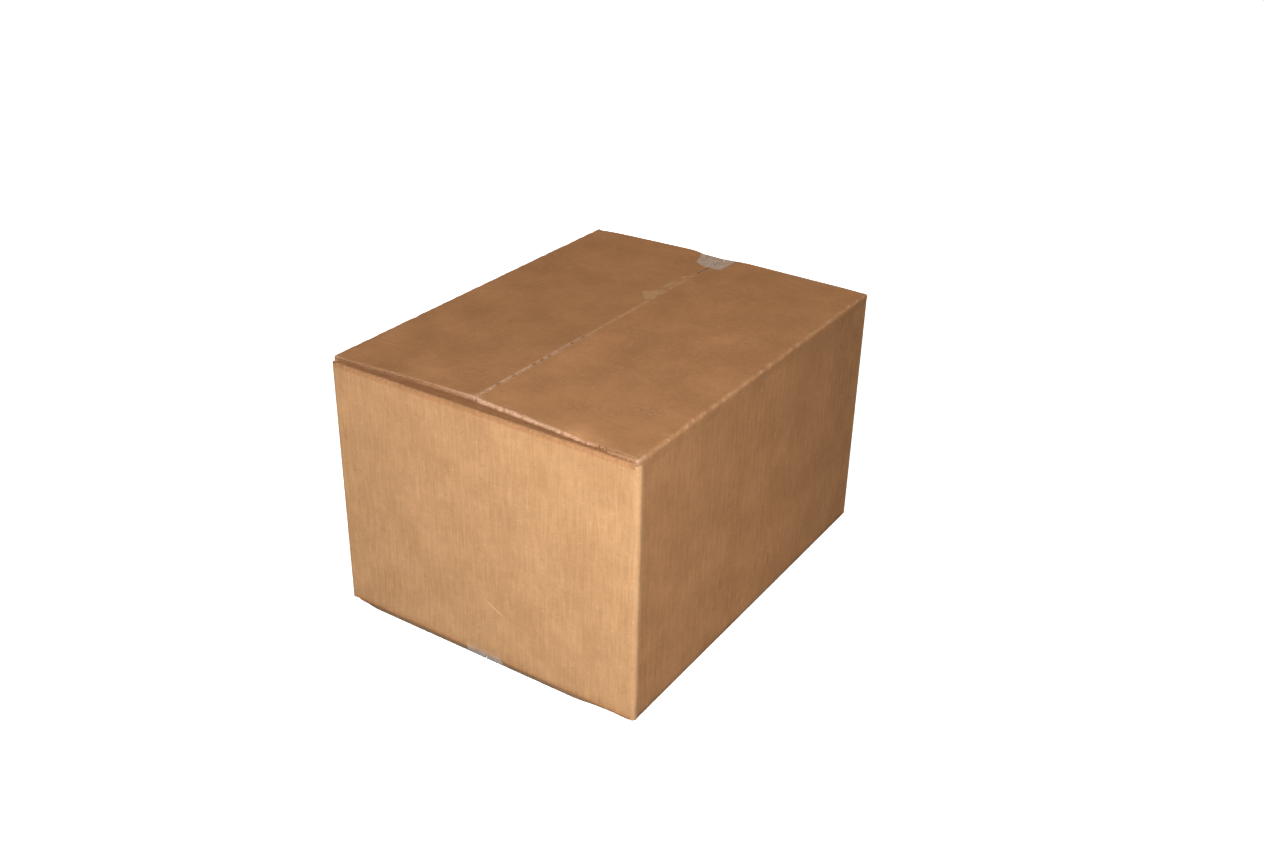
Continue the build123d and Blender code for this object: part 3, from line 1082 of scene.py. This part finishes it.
# %% [markdown]
# ## The films
#
# Packing tape is clear polypropylene film, under a tenth of a millimetre thick with its
# adhesive. It is modelled as that: a closed strip that follows the flaps under it, bridges the
# step at their ends and runs onto the panels, with torn, uneven ends. Its underside is kept a
# hair off the board, so that the two faces never fall in the same place.

# %% Film strips
BOTTOM_TURN = inner_bottom + FOLD_RADIUS - 1.5
TOP_TURN = inner_top - FOLD_RADIUS + 1.5


def film_piece(name, columns, rows, place, node):
    """A closed, thin strip over a grid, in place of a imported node."""
    parts = board_parts(columns, rows, place, profile=lambda spot: [])
    piece = make_piece(name, parts, [clear_film])
    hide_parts(node)
    return piece


def film_line(points, step):
    """Evenly stepped places along a bent line, as (place, outward normal) pairs."""
    line = []
    for k, (a, b) in enumerate(zip(points, points[1:])):
        way = Vector(b) - Vector(a)
        out = Vector((way.y, -way.x)).normalized()
        starts = [0.0] if k == 0 else []
        for walked in starts + steps(way.length, step):
            line.append((Vector(a) + way * (walked / way.length), out))
    return line


strip_columns = [-TAPE_HALF + s for s in [0] + steps(2 * TAPE_HALF, 1.5)]
bottom_points = [
    (-end_y, BOTTOM_LEG),
    (-end_y, BOTTOM_TURN),
    (-end_y + FLAP_SETBACK, FILM),
    (end_y - FLAP_SETBACK, FILM),
    (end_y, BOTTOM_TURN),
    (end_y, BOTTOM_LEG),
]
bottom_strip = film_line(bottom_points, 1.2)
print(f"bottom film {2 * TAPE_HALF:.0f} mm wide, turned up {BOTTOM_LEG:.0f} mm at each end")


def bottom_film_place(x, spot):
    """Flat under the flaps, then up both end panels, with torn ends."""
    where, out = spot
    torn = 0.9 * abs(drift(x / 3, where.x, 91)) + 1.2 * max(0.0, drift(x / 9, where.x, 93))
    z = where.y - torn * smooth(where.y, BOTTOM_TURN, BOTTOM_LEG)
    base = Vector((x, where.x, z))
    away = Vector((0, out.x, out.y))
    on_floor = abs(where.x) <= end_y - FLAP_SETBACK + 0.01
    outer = base + away * FILM
    inner = base + away * HAIR
    if on_floor:
        outer.z = 0.0
        inner.z = FILM - HAIR
    haze = near(abs(where.x) - end_y, 3) * near(z - 4, 3)
    return Spot(outer, inner, (x, where.x + z), haze, 0.0, 0.0)


bottom_film = film_piece("bottom_film", strip_columns, bottom_strip, bottom_film_place,
                         "bottom_tape")

# %% Top film
top_columns = [TOP_TAPE_X + c for c in strip_columns]
top_rows = [("flap", s) for s in [0] + steps(1, 0.05)]
top_rows += [("turn", s) for s in steps(1, 0.34)]
top_rows += [("down", s) for s in steps(1, 0.04)]


def torn_reach(x):
    """How far the torn end lies from the back panel's face, in two steps from left to right."""
    from_left = x - TOP_TAPE_X + TAPE_HALF
    reach = 8 + 19 * smooth(from_left, 0, 8) + 6 * smooth(from_left, 6, 20)
    return reach - 0.8 * abs(drift(x / 2.5, 0, 95)) - 0.2


def top_film_place(x, spot):
    """Along both flaps from the torn end, over their back ends and down the back panel."""
    stretch, share = spot
    side = -1 if x < 0 else 1
    u = max(abs(x), SEAM_GAP / 2)

    def on_flap(y):
        return Vector((x, y, fold_top + spring(side, u, y) - pressed(side, u, y)))

    if stretch == "flap":
        tip = end_y - torn_reach(x)
        base = on_flap(tip + (flap_back - tip) * share)
        away = Vector((0, 0, 1))
    elif stretch == "turn":
        base = on_flap(flap_back).lerp(Vector((x, end_y, TOP_TURN)), share)
        away = Vector((0, 0.9, 0.3)) if share < 0.9 else Vector((0, 1, 0))
    else:
        low = fold_top - TOP_TAPE_DROP + 0.7 * abs(drift(x / 2.5, 0, 97))
        base = Vector((x, end_y, TOP_TURN + (low - TOP_TURN) * share))
        away = Vector((0, 1, 0))
    haze = 0.95 if stretch == "flap" else 0.3
    return Spot(base + away * FILM, base + away * HAIR, (x, base.y - base.z), haze, 0.0, 0.0)


top_film = film_piece("top_film", top_columns, top_rows, top_film_place, "top_tape")

# %% [markdown]
# ## Floor and backdrop
#
# The box stands on a pale sweep of paper, which runs out to a white wall all round, so that every
# side of it is seen against white. The paper glows a little, so that it reads as lit on its own.
# Bounced light doesn't see floor or wall, because a glow this strong would flood the panels.

# %% Floor and backdrop
FLOOR_HALF = 30.0
FLOOR_DROP = 0.2
WALL_AWAY = 25.0
WALL_TALL = 25.0
WALL_SIDES = 48

paper_white, tree, output = new_material("white_sweep_paper")
sweep = add(tree, "BsdfPrincipled", {"Base Color": linear("#f4f4f2"), "Roughness": 0.9,
                                     "Specular IOR Level": 0.1,
                                     "Emission Color": linear("#ffffff"),
                                     "Emission Strength": 0.86})
tree.links.new(sweep.outputs[0], output.inputs["Surface"])


def stage_piece(name, points, faces):
    """A piece of the studio, which bounced and reflected light doesn't see."""
    mesh = bpy.data.meshes.new(name)
    mesh.from_pydata(points, [], faces)
    mesh.materials.append(paper_white)
    stage = bpy.data.objects.new(name, mesh)
    bpy.context.scene.collection.objects.link(stage)
    stage.visible_diffuse = False
    stage.visible_glossy = False
    return stage


floor_corners = [(-1, -1), (1, -1), (1, 1), (-1, 1)]
floor_points = [(a * FLOOR_HALF, b * FLOOR_HALF, -FLOOR_DROP * MM) for a, b in floor_corners]
floor = stage_piece("floor", floor_points, [(0, 1, 2, 3)])

wall_ring = [heading_of(2 * math.pi * i / WALL_SIDES) * WALL_AWAY for i in range(WALL_SIDES)]
wall_points = [(*spot, z) for z in (-0.01, WALL_TALL) for spot in wall_ring]
wall_faces = []
for here in range(WALL_SIDES):
    there = (here + 1) % WALL_SIDES
    wall_faces.append((here, there, there + WALL_SIDES, here + WALL_SIDES))
backdrop = stage_piece("backdrop", wall_points, wall_faces)
backdrop.visible_shadow = False
print(f"floor {2 * FLOOR_HALF:.0f} m across, wall {WALL_AWAY:.0f} m away")

# %% [markdown]
# ## Sky
#
# Nobody sees the sky behind the wall, but it lights the box: a bright horizon, dim above it and a
# little brighter overhead. That keeps the panels contrasty and the shadows soft.

# %% Sky
HORIZON = (0.9, 0.9, 0.9, 1)
LOW_SKY = (0.10, 0.097, 0.092, 1)
OVERHEAD = (0.30, 0.285, 0.26, 1)
UNDERFOOT = (0.055, 0.05, 0.045, 1)
world = bpy.data.worlds.new("soft_studio")
bpy.context.scene.world = world
world.use_nodes = True
tree = world.node_tree
tree.nodes.clear()
sky_output = tree.nodes.new("ShaderNodeOutputWorld")
toward = add(tree, "TexCoord", {}).outputs["Generated"]
height = add(tree, "SeparateXYZ", {"Vector": toward})
shade = add(tree, "ValToRGB", {"Fac": height.outputs["Z"]})
shade.color_ramp.elements[0].position = 0.0
shade.color_ramp.elements[0].color = HORIZON
shade.color_ramp.elements[1].position = 1.0
shade.color_ramp.elements[1].color = OVERHEAD
for level in (0.045, 0.5):
    dim = shade.color_ramp.elements.new(level)
    dim.color = LOW_SKY
above = add(tree, "Math", {0: height.outputs["Z"], 1: -0.04}, operation="GREATER_THAN")
glow = add(tree, "Mix", {0: above.outputs[0], 6: UNDERFOOT,
                         7: shade.outputs["Color"]}, data_type="RGBA")
sky = add(tree, "Background", {"Color": glow.outputs[2], "Strength": 1.0})
tree.links.new(sky.outputs[0], sky_output.inputs["Surface"])
print("sky:", world.name)

# %% [markdown]
# ## Lights and camera
#
# The key lamp is small and close: in front, a little to the right and twice as high as the box,
# so that its light falls off along the panels and reaches in under the raised flaps. A wider one
# overhead fills the top, a weak one behind fills the back, and one low on the right stands for
# the light that a real floor would throw back. A single sun would be simpler, but it falls off
# nowhere. The camera looks down on the front right corner, with a slightly long lens.

# %% Lights
def soft_panel(name, place, target, size, watts, colour):
    """A round soft lamp at a place, in metres, aimed at a target."""
    light = bpy.data.lights.new(name, "AREA")
    light.shape = "DISK"
    light.size = size
    light.energy = watts
    light.color = linear(colour)[:3]
    lamp = bpy.data.objects.new(name, light)
    lamp.location = place
    aim = Vector(target) - Vector(place)
    lamp.rotation_euler = aim.to_track_quat("-Z", "Y").to_euler()
    bpy.context.scene.collection.objects.link(lamp)
    return lamp


middle = (0, 0, fold_top * MM / 2)
right_foot = (side_x * MM, 0, 0.05)
soft_panel("key_lamp", (0.50, -1.03, 0.56), middle, 0.12, 18.0, "#f4f9ff")
soft_panel("top_fill", (0.145, 0.4, 1.28), middle, 0.5, 1.9, "#fff0e0")
back_fill = soft_panel("back_fill", (-0.85, 1.15, 0.36), middle, 0.6, 10.0, "#fffaf4")
right_bounce = soft_panel("right_bounce", (0.42, 0, 0.02), right_foot, 0.25, 0.12, "#fffaf4")
for bounced in (back_fill, right_bounce):
    bounced.visible_glossy = False
print(len(bpy.data.lights), "lamps")

# %% Camera
EYE = (0.5735, -0.8621, 0.6825)
TURNED = 32.786
TIPPED = 62.352
ROLLED = 1.2066
LENS = 38.316
view = bpy.data.cameras.new("view")
view.lens = LENS
view.sensor_width = 36.0
view.clip_start = 0.01
camera = bpy.data.objects.new("view", view)
turned = Matrix.Rotation(math.radians(TURNED), 4, "Z")
tipped = Matrix.Rotation(math.radians(TIPPED), 4, "X")
rolled = Matrix.Rotation(math.radians(ROLLED), 4, "Z")
camera.matrix_world = Matrix.Translation(EYE) @ turned @ tipped @ rolled
bpy.context.scene.collection.objects.link(camera)
bpy.context.scene.camera = camera
bpy.context.scene.view_settings.view_transform = "Standard"
print(f"camera {LENS} mm at {EYE}")
